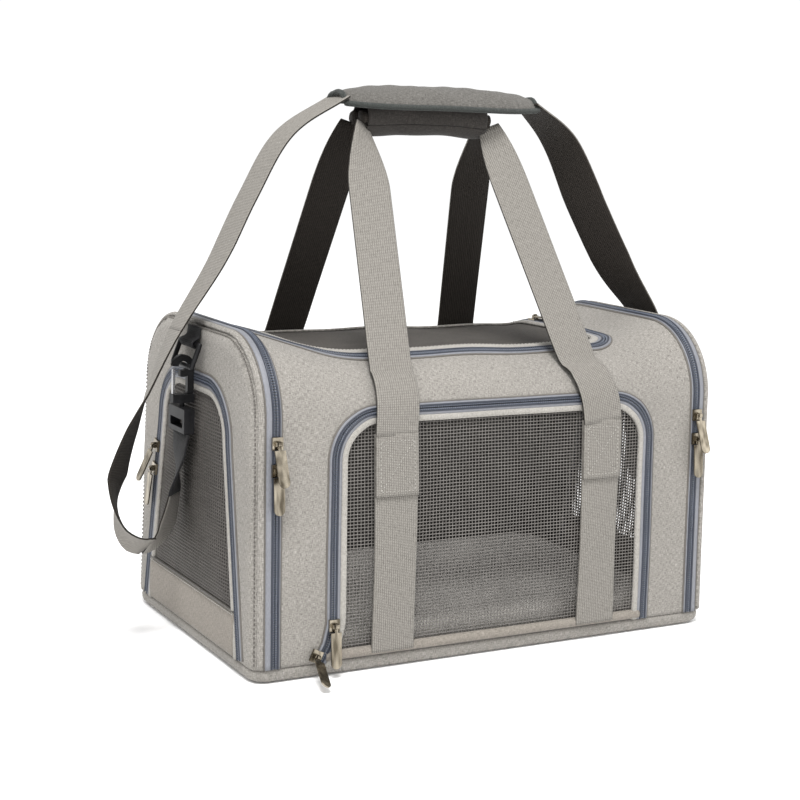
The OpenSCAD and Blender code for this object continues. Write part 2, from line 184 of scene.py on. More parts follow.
def heather(name, dark, middle, light, woven=True, thread=0.0009, sheen=0.08):
    """Linen-look cloth: slubs of three tones along both threads, over a plain weave."""
    n = Nodes(name)
    fine, slub_len = 1 / 0.00042, 1 / 0.0034
    along = n.noise(n.place(woven, (fine, slub_len, fine)), 2.0)
    across = n.noise(n.place(woven, (slub_len, fine, slub_len)), 2.0)
    slub = n.math("MULTIPLY", n.math("ADD", along, across), 0.5)
    colour = n.ramp(slub, [(0.30, dark), (0.49, middle), (0.68, light)])
    soil = n.noise(n.place(woven, (1 / 0.06,) * 3), 2.0)
    tint = n.ramp(soil, [(0.3, (0.90, 0.90, 0.90)), (0.7, (1.0, 1.0, 1.0))])
    weave_place = n.place(woven, (math.pi / thread / 10,) * 3)
    warp = n.wave(weave_place, "X")
    weft = n.wave(weave_place, "Y")
    weave = n.math("MULTIPLY", warp, weft)
    shade = n.ramp(weave, [(0.0, (0.86, 0.86, 0.86)), (0.6, (1.0, 1.0, 1.0))])
    shaded = n.mix(1.0, n.mix(1.0, colour, tint, "MULTIPLY"), shade, "MULTIPLY")
    n.surface({"Base Color": shaded, "Roughness": n.span(slub, 0.95, 0.78), "Sheen Weight": sheen,
               "Sheen Roughness": 0.6, "Specular IOR Level": 0.2})
    n.bump(n.math("ADD", weave, slub), 0.00012)
    return n.material


def webbing(name, dark, light, rib=0.0019, pick=0.0013):
    """Flat webbing: ribs along its length, crossed by fine picks that make rows of dots."""
    n = Nodes(name)
    ribs = n.wave(n.place(True, (math.pi / rib / 10,) * 3), "X", 0.15)
    picks = n.wave(n.place(True, (math.pi / pick / 10,) * 3), "Y", 0.4)
    dots = n.math("MULTIPLY", ribs, picks)
    fibre = n.noise(n.place(True, (1 / 0.0012, 1 / 0.004, 1)), 3.0)
    grain = n.math("ADD", n.math("MULTIPLY", dots, 0.65), n.math("MULTIPLY", fibre, 0.5))
    n.surface({"Base Color": n.ramp(grain, [(0.12, dark), (0.62, light)]),
               "Roughness": n.span(fibre, 0.62, 0.85), "Sheen Weight": 0.04, "Specular IOR Level": 0.15})
    n.bump(dots, 0.0003)
    return n.material


def fibre(name, dark, light, size=0.0006, roughness=(0.45, 0.7), depth=0.00008, woven=False):
    """Thread, tape or cord with fine fibres and a little colour change."""
    n = Nodes(name)
    fine = n.noise(n.place(woven, (1 / size, 1 / (5 * size), 1 / size)), 3.0)
    broad = n.noise(n.place(woven, (1 / 0.03,) * 3), 2.0)
    both = n.math("ADD", n.math("MULTIPLY", fine, 0.7), n.math("MULTIPLY", broad, 0.3))
    n.surface({"Base Color": n.ramp(both, [(0.3, dark), (0.7, light)]),
               "Roughness": n.span(fine, *roughness)})
    n.bump(fine, depth)
    return n.material


def metal(name, dark, light):
    """Plated metal with fine scratches and a few dull smudges; the same patches darken and lighten its colour
    as painted reflections.
    """
    n = Nodes(name)
    scratch = n.noise(n.place(False, (1 / 0.0004, 1 / 0.0004, 1 / 0.009)), 4.0)
    smudge_and_painted_reflection = n.noise(n.place(False, (1 / 0.004, 1 / 0.004, 1 / 0.02)), 1.0)
    both = n.math("ADD", n.math("MULTIPLY", scratch, 0.6), n.math("MULTIPLY", smudge_and_painted_reflection, 0.4))
    # colour from dark to light in broad patches: painted reflections; the patches also dull the roughness
    # like smudges
    n.surface({"Base Color": n.ramp(smudge_and_painted_reflection, [(0.3, dark), (0.7, light)]), "Metallic": 1.0,
               "Roughness": n.span(both, 0.12, 0.34)})
    n.bump(scratch, 0.00002)
    return n.material


def moulded(name, dark, light):
    """Moulded plastic with fine spark-eroded grain and patches of wear."""
    n = Nodes(name)
    grain = n.noise(n.place(False, (1 / 0.0005,) * 3), 3.0)
    wear = n.noise(n.place(False, (1 / 0.008,) * 3), 3.0)
    n.surface({"Base Color": n.ramp(wear, [(0.35, dark), (0.8, light)]),
               "Roughness": n.span(wear, 0.32, 0.55), "Specular IOR Level": 0.22})
    n.bump(grain, 0.00004)
    return n.material


GREY = heather("heather_grey", (0.085, 0.077, 0.067), (0.260, 0.244, 0.221), (0.43, 0.409, 0.376))
GUSSET = heather("gusset_taupe", (0.125, 0.109, 0.091), (0.24, 0.215, 0.185), (0.36, 0.328, 0.288))
BINDING = heather("binding_pale", (0.21, 0.198, 0.178), (0.36, 0.343, 0.313), (0.50, 0.478, 0.44),
                  thread=0.0007)
DARK_PAD = heather("pad_heather", (0.046, 0.043, 0.038), (0.105, 0.099, 0.090), (0.195, 0.186, 0.172))
PAD_RIM = heather("pad_rim", (0.012, 0.014, 0.013), (0.032, 0.036, 0.033), (0.075, 0.080, 0.075))
WRAP = heather("wrap_heather", (0.012, 0.010, 0.009), (0.030, 0.026, 0.023), (0.070, 0.063, 0.056))
LINING = heather("lining_dark", (0.04, 0.037, 0.034), (0.07, 0.066, 0.061), (0.11, 0.104, 0.097), sheen=0.04)
FLEECE = heather("mat_fleece", (0.58, 0.55, 0.505), (0.73, 0.70, 0.65), (0.86, 0.83, 0.78),
                 thread=0.0016, sheen=0.3)
WEB = webbing("webbing_grey", (0.10, 0.092, 0.081), (0.285, 0.269, 0.244))
# a darkened copy of the grey webbing: painted shade for webbing faces that lie in shadow
SHADE_WEB = webbing("webbing_painted_shade", (0.009, 0.0075, 0.006), (0.037, 0.031, 0.026))
BLACK_WEB = webbing("webbing_black", (0.005, 0.005, 0.0055), (0.022, 0.022, 0.023))
NET = fibre("net_thread", (0.095, 0.087, 0.080), (0.20, 0.186, 0.171), size=0.0009)
END_NET = fibre("end_net_thread", (0.055, 0.050, 0.045), (0.125, 0.115, 0.105), size=0.0009)
TOP_NET = fibre("top_net_thread", (0.036, 0.032, 0.028), (0.085, 0.077, 0.069), size=0.0009)
TAPE = fibre("zip_tape", (0.135, 0.140, 0.156), (0.215, 0.220, 0.242), depth=0.0001, woven=True)
COIL = fibre("zip_coil", (0.010, 0.013, 0.022), (0.028, 0.035, 0.052), roughness=(0.35, 0.55))
TEETH = fibre("zip_teeth", (0.05, 0.06, 0.085), (0.12, 0.14, 0.18), roughness=(0.35, 0.5))
THREAD = fibre("stitch_thread", (0.24, 0.228, 0.206), (0.40, 0.382, 0.35), size=0.0004)
DARK_THREAD = fibre("dark_thread", (0.07, 0.063, 0.055), (0.15, 0.138, 0.122), size=0.0004)
NICKEL = metal("pale_nickel", (0.10, 0.085, 0.062), (0.40, 0.355, 0.28))
STEEL = metal("spring_steel", (0.35, 0.35, 0.36), (0.55, 0.55, 0.56))
PLASTIC = moulded("black_acetal", (0.005, 0.005, 0.0055), (0.013, 0.013, 0.014))
BOARD = moulded("grey_board", (0.05, 0.05, 0.05), (0.08, 0.08, 0.08))

# ---------- surfaces that pieces are laid on ----------
# Each takes points (N x 2) on the cloth and heights above it, and gives points in space.
WALL_RUN = WALL_Z - BASE_R
EDGE_LEN = 0.087                      # length of the rounded top edge
TOP_START = WALL_RUN + EDGE_LEN
MID_S = TOP_START + FLAT_HALF
ARCH_INNER = 0.110                    # the top sags between the stiff arches, inside this
PUFF = 0.0025                         # the padded walls stand out in their middle


def arch_top(x):
    """Height of the top at x: stiff arches at the ends with a saddle between them."""
    rise = np.clip((np.abs(x) - ARCH_INNER) / (TUBE_HALF - ARCH_INNER), 0, 1)
    return MID_H + SAG * rise ** 2.4


def soft(x, s):
    """Slow waves in loose cloth, about a millimetre high."""
    return 0.0008 * np.sin(31 * x + 9 * s) * np.cos(23 * s - 13 * x) + 0.0005 * np.sin(67 * x - 41 * s)


def tube(points, out):
    """x along the bag and s up the front wall, over the top and down the back wall."""
    x, s = points[:, 0], points[:, 1]
    back = s > MID_S
    s = np.where(back, 2 * MID_S - s, s)
    top = arch_top(x)
    wall_y = -(HALF_W - WALL_LEAN * s / WALL_RUN)
    wall = np.stack([x, wall_y, BASE_R + s], 1)
    lean = math.atan(WALL_LEAN / WALL_RUN)
    wall_up = np.tile([0, -math.cos(lean), math.sin(lean)], (len(x), 1))
    angle = np.clip((s - WALL_RUN) / EDGE_LEN, 0, 1) * math.pi / 2
    tall = top - WALL_Z
    edge = np.stack([x, -(FLAT_HALF + EDGE_RUN * np.cos(angle)), WALL_Z + tall * np.sin(angle)], 1)
    edge_up = np.stack([0 * x, -np.cos(angle) / EDGE_RUN, np.sin(angle) / tall], 1)
    edge_up /= np.linalg.norm(edge_up, axis=1)[:, None]
    flat = np.stack([x, -(MID_S - s), top], 1)
    flat_up = np.tile([0.0, 0.0, 1.0], (len(x), 1))
    on_wall, on_edge = (s <= WALL_RUN)[:, None], (s <= TOP_START)[:, None]
    place = np.where(on_wall, wall, np.where(on_edge, edge, flat))
    up = np.where(on_wall, wall_up, np.where(on_edge, edge_up, flat_up))
    puff = PUFF * np.sin(np.pi * np.clip(s / WALL_RUN, 0, 1)) * (1 - (x / TUBE_HALF) ** 2)
    loose = soft(x, s) * np.clip((TUBE_HALF - np.abs(x)) / 0.02, 0, 1) * np.clip(s / 0.03, 0, 1)
    place = place + up * (out + puff + loose)[:, None]
    place[:, 1] = np.where(back, -place[:, 1], place[:, 1])
    return place


def top_s(y):
    """The cloth's s at y on the top or its rounded edges."""
    y = np.asarray(y, float)
    over = np.clip((np.abs(y) - FLAT_HALF) / EDGE_RUN, 0, 1)
    edge_run = FLAT_HALF + EDGE_LEN * (1 - np.arccos(over) / (math.pi / 2))
    run = np.where(np.abs(y) > FLAT_HALF, edge_run, np.abs(y))
    return MID_S + np.sign(y) * run


def arc(centre, radius, start, end, count=14):
    angles = np.radians(np.linspace(start, end, count))
    return [(centre[0] + radius * math.cos(a), centre[1] + radius * math.sin(a)) for a in angles]


def rounded_box(a, b, r):
    """A level rectangle of half sizes a and b with corners of radius r."""
    return (arc((a - r, b - r), r, 0, 90, 8) + arc((-a + r, b - r), r, 90, 180, 8)
            + arc((-a + r, -b + r), r, 180, 270, 8) + arc((a - r, -b + r), r, 270, 360, 8))


def section_outline():
    """The bag's section (y, z) at its stiff ends, its walls run on below the floor."""
    side = [(-HALF_W + WALL_LEAN * t, BASE_R + WALL_RUN * t) for t in np.linspace(0, 1, 40)]
    edge = [(-(FLAT_HALF + EDGE_RUN * math.cos(a)), WALL_Z + (BAG_H - WALL_Z) * math.sin(a))
            for a in np.linspace(0.02, math.pi / 2, 50)]
    below = [(-HALF_W, z) for z in np.linspace(-0.3, 0, 40)]
    half = below + side + edge
    return np.array(half + [(-y, z) for y, z in half[::-1]])


SECTION = section_outline()
SHOULDER = 0.009                      # roll of the cloth between an end's rim and its face


def nearest_on_section(points):
    """Nearest point on the section, and how far inside it each point is."""
    start, step = SECTION[:-1], np.diff(SECTION, axis=0)
    rel = points[:, None, :] - start[None]
    t = np.clip((rel * step).sum(2) / (step ** 2).sum(1), 0, 1)
    foot = start[None] + t[..., None] * step[None]
    gap = np.linalg.norm(points[:, None, :] - foot, axis=2)
    best = gap.argmin(1)
    rows = np.arange(len(points))
    near, distance = foot[rows, best], gap[rows, best]
    along = step[best] / np.linalg.norm(step[best], axis=1)[:, None]
    inward = np.stack([along[:, 1], -along[:, 0]], 1)
    depth = ((points - near) * inward).sum(1)
    return near, inward, np.where(depth < 0, -distance, distance)


def end_cap(points, out):
    """The right end: the flat cloth is its face, with its rim folded back around it."""
    near, inward, depth = nearest_on_section(points)
    rim = np.minimum(depth, 0)
    turn = np.clip(depth / SHOULDER, 0, 1) * math.pi / 2
    rolled = SHOULDER * (1 - np.cos(turn))
    kept = np.where(depth > SHOULDER, depth, rolled)
    yz = near + inward * (kept - np.cos(turn) * out)[:, None]
    x = HALF_L - SHOULDER + SHOULDER * np.sin(turn) + rim + np.sin(turn) * out
    return np.stack([x, yz[:, 0], yz[:, 1]], 1)


# ---------- door outlines on those surfaces ----------


def front_outline(grow=0.0):
    """(x, s) from the left foot over the door to the right foot."""
    low, foot = BASE_TOP + FOOT_GAP, DOOR_HALF + grow
    r = DOOR_R + grow
    points = [(-(foot + FLARE), low), (-foot - FLARE * 0.35, low + 0.6 * FLARE_H),
              (-foot, low + 1.3 * FLARE_H)]
    points += arc((-(DOOR_HALF - DOOR_R), DOOR_TOP - DOOR_R), r, 180, 90)
    points += arc((DOOR_HALF - DOOR_R, DOOR_TOP - DOOR_R), r, 90, 0)
    points += [(foot, low + 0.03), (foot, low)]
    return np.array([(x, front_s(z)) for x, z in points])


def front_s(z):
    """The cloth's s at height z on the front wall or its rounded edge."""
    over = min(max((z - WALL_Z) / (MID_H - WALL_Z), 0.0), 1.0)
    return z - BASE_R if z <= WALL_Z else WALL_RUN + EDGE_LEN * math.asin(over) / (math.pi / 2)


def top_outline(grow=0.0):
    """(x, s) from the back right corner round the front to the back left corner."""
    left_r, right_r = 0.060, 0.034
    points = [(TOP_RIGHT + grow, TOP_BACK), (TOP_RIGHT + grow, 0.0)]
    points += arc((TOP_RIGHT - right_r, TOP_FRONT + right_r), right_r + grow, 0, -90)
    points += arc((-(TOP_LEFT - left_r), TOP_FRONT + left_r), left_r + grow, -90, -180, 20)
    points += [(-(TOP_LEFT + grow), 0.03), (-(TOP_LEFT + grow), TOP_BACK)]
    points = np.array(points)
    return np.stack([points[:, 0], top_s(points[:, 1])], 1)


def end_outline(grow=0.0):
    """(y, z) from the front foot over the door to the back foot."""
    r = END_R + grow
    points = [(-(END_FOOT + grow), END_LOW)]
    points += arc((-(END_HEAD - END_R), END_TOP - END_R), r, 180, 90)
    points += arc((END_HEAD - END_R, END_TOP - END_R), r, 90, 0)
    points += [(END_FOOT + grow, END_LOW)]
    return np.array(points)


# ---------- mesh building ----------


def runs(path):
    """How far along the path each point is."""
    return np.concatenate([[0], np.cumsum(np.linalg.norm(np.diff(path, axis=0), axis=1))])


def points_at(path, distances):
    """The points at these distances along the path."""
    run = runs(path)
    return np.stack([np.interp(distances, run, path[:, i]) for i in range(path.shape[1])], 1)


def even(path, step):
    """The path with points at even spacing."""
    path = np.asarray(path, float)
    length = runs(path)[-1]
    count = max(2, int(round(length / step)) + 1)
    return points_at(path, np.linspace(0, length, count))


def smooth_path(points, step):
    """A Catmull-Rom curve through the points, at even spacing."""
    p = np.asarray(points, float)
    p = np.vstack([2 * p[0] - p[1], p, 2 * p[-1] - p[-2]])
    t = np.linspace(0, 1, 12, endpoint=False)[:, None]
    parts = []
    for a, b, c, d in zip(p[:-3], p[1:-2], p[2:-1], p[3:]):
        parts.append(0.5 * (2 * b + (c - a) * t + (2 * a - 5 * b + 4 * c - d) * t ** 2
                            + (3 * b - a - 3 * c + d) * t ** 3))
    parts.append(p[-2][None])
    return even(np.vstack(parts), step)


def directions(path):
    """The direction of travel at each point of the path."""
    step = np.gradient(np.asarray(path, float), axis=0)
    return step / np.linalg.norm(step, axis=1)[:, None]


def to_right(path):
    """Directions to the right of travel on a flat path."""
    along = directions(path)
    return np.stack([along[:, 1], -along[:, 0]], 1)


def new_piece(name, points, faces, material, weave=None, inner=None, solid=False):
    mesh = bpy.data.meshes.new(name)
    mesh.from_pydata([tuple(map(float, p)) for p in points], [], faces)
    if solid:
        shape = bmesh.new()
        shape.from_mesh(mesh)
        bmesh.ops.recalc_face_normals(shape, faces=shape.faces)
        shape.to_mesh(mesh)
        shape.free()
    mesh.materials.append(material)
    if inner is not None:
        mesh.materials.append(inner)
    if weave is not None:
        layer = mesh.uv_layers.new(name="Weave")
        corners = np.zeros(len(mesh.loops), int)
        mesh.loops.foreach_get("vertex_index", corners)
        layer.data.foreach_set("uv", np.asarray(weave, float)[corners].ravel())
    mesh.polygons.foreach_set("use_smooth", [True] * len(mesh.polygons))
    mesh.update()
    piece = bpy.data.objects.new(name, mesh)
    bpy.context.scene.collection.objects.link(piece)
    return piece


def modify(piece, kind, **values):
    modifier = piece.modifiers.new(kind.lower(), kind)
    for key, value in values.items():
        setattr(modifier, key, value)


def loft(name, rings, material, weave=None):
    """A closed tube through rings (N x M x 3)."""
    count, around = rings.shape[:2]
    faces = []
    for i in range(count - 1):
        for j in range(around):
            k = (j + 1) % around
            faces.append((i * around + j, (i + 1) * around + j, (i + 1) * around + k, i * around + k))
    faces.append(tuple(range(around)))
    faces.append(tuple(range((count - 1) * around, count * around))[::-1])
    if weave is not None:
        weave = weave.reshape(-1, 2)
    return new_piece(name, rings.reshape(-1, 3), faces, material, weave, solid=True)


def sweep(name, path, profile, place, material, step=0.004):
    """A solid strip laid along a path on a surface; profile holds (right of path, height) pairs."""
    path = even(path, step)
    right = to_right(path)
    rings, weave = [], []
    run = runs(path)
    for offset, height in profile:
        rings.append(place(path + right * offset, np.full(len(path), height)))
        weave.append(np.stack([np.full(len(path), offset), run], 1))
    return loft(name, np.stack(rings, 1), material, np.stack(weave, 1))


def bars(name, path, offset, place, material, pitch, along, across, height, sunk=0.0002):
    """A row of small raised bars on a surface: stitches or zipper teeth."""
    path = even(path, pitch)
    ahead = directions(path)
    right = to_right(path)
    middle = path[:-1] + ahead[:-1] * pitch / 2 + right[:-1] * offset
    outline = [(-1, -0.5), (-0.6, -1), (0.6, -1), (1, -0.5), (1, 0.5), (0.6, 1), (-0.6, 1), (-1, 0.5)]
    low, high = [], []
    for u, v in outline:
        at = middle + ahead[:-1] * (u * along / 2) + right[:-1] * (v * across / 2)
        inner = middle + ahead[:-1] * (0.7 * u * along / 2) + right[:-1] * (0.6 * v * across / 2)
        low.append(place(at, np.full(len(at), -sunk)))
        high.append(place(inner, np.full(len(at), height)))
    points = np.concatenate([np.stack(low, 1), np.stack(high, 1)], 1)
    faces = []
    for i in range(len(middle)):
        base = i * 16
        faces.append(tuple(base + 8 + j for j in range(8)))
        faces.append(tuple(base + 7 - j for j in range(8)))
        faces += [(base + j, base + (j + 1) % 8, base + 8 + (j + 1) % 8, base + 8 + j) for j in range(8)]
    return new_piece(name, points.reshape(-1, 3), faces, material, solid=True)


def inside(points, outline):
    """Which points lie inside a closed outline."""
    x, y = points[:, 0][:, None], points[:, 1][:, None]
    x0, y0 = outline[:, 0][None], outline[:, 1][None]
    x1, y1 = np.roll(outline, -1, 0).T[:, None, :]
    crosses = (y0 > y) != (y1 > y)
    at = x0 + (y - y0) / np.where(y1 == y0, 1e-12, y1 - y0) * (x1 - x0)
    return (crosses & (x < at)).sum(1) % 2 == 1


def distance_to(points, outline):
    """How far each point is from a closed outline."""
    step = np.roll(outline, -1, 0) - outline
    rel = points[:, None, :] - outline[None]
    t = np.clip((rel * step).sum(2) / np.maximum((step ** 2).sum(1), 1e-12), 0, 1)
    return np.linalg.norm(rel - t[..., None] * step[None], axis=2).min(1)


def swell(points, outline, height, reach):
    """A height that grows from nothing at the outline to its full value well inside it."""
    rise = height * (1 - np.exp(-distance_to(points, outline) / reach))
    return np.where(inside(points, outline), rise, 0.0)


def closed_even(outline, step):
    """The closed outline with points at even spacing."""
    return even(np.vstack([outline, outline[:1]]), step)[:-1]


def evenly(outline, count):
    """The closed outline with this many points at even spacing."""
    path = np.vstack([outline, outline[:1]])
    return points_at(path, np.linspace(0, runs(path)[-1], count, endpoint=False))


def grid_points(outline, step):
    """A square grid over the outline's box."""
    low, high = outline.min(0), outline.max(0)
    a = np.arange(low[0] + step / 2, high[0], step)
    b = np.arange(low[1] + step / 2, high[1], step)
    return np.stack(np.meshgrid(a, b, indexing="ij"), 2).reshape(-1, 2)


def cloth(name, outline, holes, place, material, thickness, step=0.006, inner=None):
    """A cloth panel cut to an outline with holes, laid on a surface and given its thickness.

    Away from its seams it is a little slack, in soft uneven waves."""
    loops = [closed_even(loop, step * 0.7) for loop in [outline, *holes]]
    filling = grid_points(outline, step)
    keep = inside(filling, loops[0])
    for loop in loops:
        keep &= distance_to(filling, loop) > step * 0.4
    for hole in loops[1:]:
        keep &= ~inside(filling, hole)
    points = np.vstack([*loops, filling[keep]])
    edges, first = [], 0
    for loop in loops:
        edges += [(first + i, first + (i + 1) % len(loop)) for i in range(len(loop))]
        first += len(loop)
    flat, _, triangles, *_ = delaunay_2d_cdt([Vector(p) for p in points], edges, [], 0, 1e-7)
    flat = np.array([tuple(p) for p in flat])
    triangles = np.array(triangles)
    centres = flat[triangles].mean(1)
    good = inside(centres, loops[0])
    for hole in loops[1:]:
        good &= ~inside(centres, hole)
    edge = np.min([distance_to(flat, loop) for loop in loops], axis=0)
    ripple = np.sin(flat @ (62, 41) + 0.6) + np.sin(flat @ (-38, 77) + 2.1) + 0.6 * np.sin(flat @ (121, -93))
    slack = 0.0005 * ripple * (1 - np.exp(-(edge / 0.022) ** 2))
    piece = new_piece(name, place(flat, slack), [tuple(map(int, t)) for t in triangles[good]],
                      material, weave=flat, inner=inner)
    modify(piece, "SOLIDIFY", thickness=thickness, offset=-1,
           material_offset=0 if inner is None else 1, material_offset_rim=0)
    return piece


def net(name, outline, place, material, pitch, thread, lift=None):
    """An open net of real threads inside an outline."""
    low, high = outline.min(0), outline.max(0)
    a = np.arange(low[0], high[0] + pitch[0], pitch[0])
    b = np.arange(low[1], high[1] + pitch[1], pitch[1])
    flat = np.stack(np.meshgrid(a, b, indexing="ij"), 2)
    centres = (flat[:-1, :-1] + flat[1:, 1:]) / 2
    spots = centres.reshape(-1, 2)
    used = inside(spots, outline).reshape(centres.shape[:2])
    flat_list = flat.reshape(-1, 2)
    height = np.zeros(len(flat_list)) if lift is None else lift(flat_list)
    points = place(flat_list, height)
    rows = flat.shape[1]
    faces = []
    for i, j in zip(*np.nonzero(used)):
        first, second = int(i * rows + j), int((i + 1) * rows + j)
        faces.append((first, second, second + 1, first + 1))
    corners = sorted({corner for face in faces for corner in face})
    renumber = {old: new for new, old in enumerate(corners)}
    faces = [tuple(renumber[c] for c in face) for face in faces]
    piece = new_piece(name, points[corners], faces, material)
    modify(piece, "WIREFRAME", thickness=thread, use_even_offset=False, use_boundary=True)
    return piece


def ribbon(name, path, across, width, thickness, material, scallop=0.0, under=None, turn=0.0):
    """Webbing along a path in space, crowned in the middle; its woven edge may be scalloped.

    Its second face may get a material of its own, here always the painted-shade webbing, and it may be turned
    about its length point by point."""
    path = np.asarray(path, float)
    ahead = directions(path)
    across = np.broadcast_to(np.asarray(across, float), path.shape)
    up = np.cross(ahead, across)
    up /= np.linalg.norm(up, axis=1)[:, None]
    side = np.cross(up, ahead)
    turn = np.broadcast_to(np.asarray(turn, float), len(path))[:, None]
    side, up = side * np.cos(turn) + up * np.sin(turn), up * np.cos(turn) - side * np.sin(turn)
    width = np.broadcast_to(np.asarray(width, float), len(path))
    run = runs(path)
    half = width / 2 + scallop * np.sin(run * 2 * math.pi / 0.004)
    shape = [(-1, -0.3), (-1, 0.3), (-0.93, 0.5), (-0.5, 0.58), (0, 0.62), (0.5, 0.58), (0.93, 0.5), (1, 0.3),
             (1, -0.3), (0.93, -0.5), (0.5, -0.42), (0, -0.38), (-0.5, -0.42), (-0.93, -0.5)]
    rings, weave = [], []
    for u, v in shape:
        rings.append(path + side * (u * half)[:, None] + up * (v * thickness))
        weave.append(np.stack([u * half, run], 1))
    piece = loft(name, np.stack(rings, 1), material, np.stack(weave, 1))
    if under is not None:
        piece.data.materials.append(under)
        for number, face in enumerate(piece.data.polygons):
            if number % len(shape) < 7:
                face.material_index = 1
    return piece


def dress(node, material, bevel=0.0):
    """Gives a CAD part its finish, and rounds its edges."""
    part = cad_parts[node]
    part.data.materials.clear()
    part.data.materials.append(material)
    for face in part.data.polygons:
        face.material_index = 0
    if bevel:
        modify(part, "BEVEL", width=bevel, segments=2, limit_method="ANGLE", angle_limit=0.7)


def on(body, slot, *made):
    """Puts pieces on a body; the slot argument is not used."""
    for piece in made:
        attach(piece, body)


def raised(place, lift):
    """The same lay on a surface, raised by lift, or sunk where it is negative."""
    return lambda points, out: place(points, out + lift)


# ---------- zippers ----------
TAPE_W = 0.0050


def half_zip(name, path, side, place, body, tape_w=TAPE_W):
    """One half of a zipper beside a path: its tape, coil cord, teeth, and a dark strip along the tape's outer
    edge that is painted shade of the groove there.

    Side is 1 for the right of the path. The tape is the first of the pieces given back."""
    near = SEAM_GAP / 2
    far = near + tape_w
    tape = [(near, 0.0002), (near + 0.001, 0.0012), (far - 0.002, 0.0016), (far, 0.0008), (far, -0.0004),
            (near, -0.0006)]
    cord_mid, cord_r = near + 0.0022, 0.0009
    # a dark strip at the tape's outer edge: painted shade of the groove between tape and cloth
    seam = [(far - 0.0002, 0.0002), (far - 0.0002, 0.0011), (far + 0.0008, 0.0007), (far + 0.0008, -0.0002)]
    cord = [(cord_mid + cord_r * math.cos(a), 0.0014 + cord_r * math.sin(a))
            for a in np.linspace(0, 2 * math.pi, 8, endpoint=False)]
    pieces = [
        sweep(f"{name}_tape", path, [(side * u, v) for u, v in tape], place, TAPE),
        sweep(f"{name}_coil", path, [(side * u, v) for u, v in cord], place, COIL),
        bars(f"{name}_teeth", path, side * (near + 0.0007), place, TEETH, 0.0019, 0.0012, 0.0017, 0.0018),
        sweep(f"{name}_seam", path, [(side * u, v) for u, v in seam], place, DARK_THREAD),
    ]
    on(body, "zip_tape", *pieces)
    return pieces


def edging(name, path, inner, outer, height, place, material, body):
    """A crowned strip of cloth between two offsets to the right of a path."""
    profile = [(inner, -0.0008), (inner, height * 0.6), (inner + (outer - inner) * 0.2, height),
               (inner + (outer - inner) * 0.8, height), (outer, height * 0.5), (outer, -0.0008)]
    piece = sweep(name, path, profile, place, material)
    on(body, "fabric_grey", piece)
    return piece


def piping(name, path, offset, radius, place, material, body, lift=0.0):
    """A round cord laid beside a path on a surface."""
    profile = [(offset + radius * math.cos(a), lift + radius * math.sin(a))
               for a in np.linspace(2 * math.pi, 0, 10, endpoint=False)]
    piece = sweep(name, path, profile, place, material)
    on(body, "fabric_grey", piece)
    return piece


def stitches(name, path, offset, place, body, slot="fabric_grey", material=THREAD, lift=0.0,
             pitch=0.0036):
    """A row of stitches laid beside a path on a surface."""
    piece = bars(name, path, offset, raised(place, lift), material, pitch, pitch * 0.62, 0.0008, 0.0005)
    on(body, slot, piece)
    return piece


# ---------- tube of the bag ----------
CLOTH_T = 0.0035
FOOT_S = BASE_TOP + FOOT_GAP - BASE_R
BACK_FOOT_S = 2 * MID_S - FOOT_S


def bag_tube():
    """The cloth of the front, top and back in one sheet, cut out for the front and top doors."""
    rim = TUBE_HALF - 0.0005
    door = front_outline(SEAM_GAP / 2)
    corners = [(rim, FOOT_S), (rim, BACK_FOOT_S), (-rim, BACK_FOOT_S), (-rim, FOOT_S)]
    outline = np.vstack([door, corners])
    shell = cloth("bag_shell", outline, [top_outline(SEAM_GAP / 2)], tube, GREY, CLOTH_T, inner=LINING)
    on("carrier", "fabric_grey", shell)
    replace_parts(shell, "shell_panel", "back_panel")


def base_tray():
    """Cloth-covered stiff base with a rolled lower edge."""
    levels = [(0.0, 0.009), (0.0008, 0.0045), (0.003, 0.0015), (0.006, 0.0003), (0.0095, 0.0),
              (0.0116, 0.0006), (BASE_TOP, 0.0022)]
    rings, weave = [], []
    radius, count = 0.012, 160
    length = 1.34
    for z, inset in levels:
        loop = rounded_box(HALF_L - inset, HALF_W - inset, radius - inset * 0.5)
        rings.append(np.column_stack([evenly(np.array(loop), count), np.full(count, z)]))
        weave.append(np.stack([np.linspace(0, length, count), np.full(count, z + inset)], 1))
    tray = loft("base_tray", np.stack(rings), GREY, np.stack(weave))
    on("carrier", "fabric_grey", tray)
    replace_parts(tray, "base_cover")


bag_tube()
base_tray()

# ---------- perimeter zippers ----------
TUBE_ZIP_X = TUBE_HALF + SEAM_GAP / 2
for side_name, side in (("left", -1), ("right", 1)):
    seam = np.array([(side * TUBE_ZIP_X, FOOT_S), (side * TUBE_ZIP_X, BACK_FOOT_S)])
    tube_half, *_ = half_zip(f"{side_name}_seam_inner", seam, -side, tube, "carrier", tape_w=0.0045)
    half_zip(f"{side_name}_seam_outer", seam, side, tube, f"{side_name}_end", tape_w=0.0080)
    if side < 0:
        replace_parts(tube_half, "end_tracks")

# ---------- front door ----------
door_edge = front_outline()
inner_edge = front_outline(-NET_EDGE)

front_net = net("front_net", inner_edge, raised(tube, -0.0015), NET, (0.0031, 0.0027), 0.0011)
on("front_door", "mesh", front_net)
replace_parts(front_net, "front_mesh")
front_binding = edging("front_binding_strip", door_edge, 0.0060, 0.0112, 0.0018, tube, BINDING,
                       "front_door")
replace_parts(front_binding, "front_binding")
half_zip("front_zip_inner", door_edge, 1, tube, "front_door", tape_w=0.006)
front_track, *_ = half_zip("front_zip_outer", door_edge, -1, tube, "carrier")
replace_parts(front_track, "front_track")
foot_line = np.array([(-DOOR_HALF - 0.006, FOOT_S + 0.0045), (DOOR_HALF - 0.004, FOOT_S + 0.0045)])
piping("front_foot_piping", foot_line, 0.0, 0.0042, tube, GUSSET, "front_door", lift=-0.001)
stitches("front_binding_stitch", door_edge, 0.0104, tube, "front_door", lift=0.0014)

# ---------- webbing sewn to the front and back ----------
WEB_T = 0.002
WEB_LIFT = TAPE_T + 0.0004


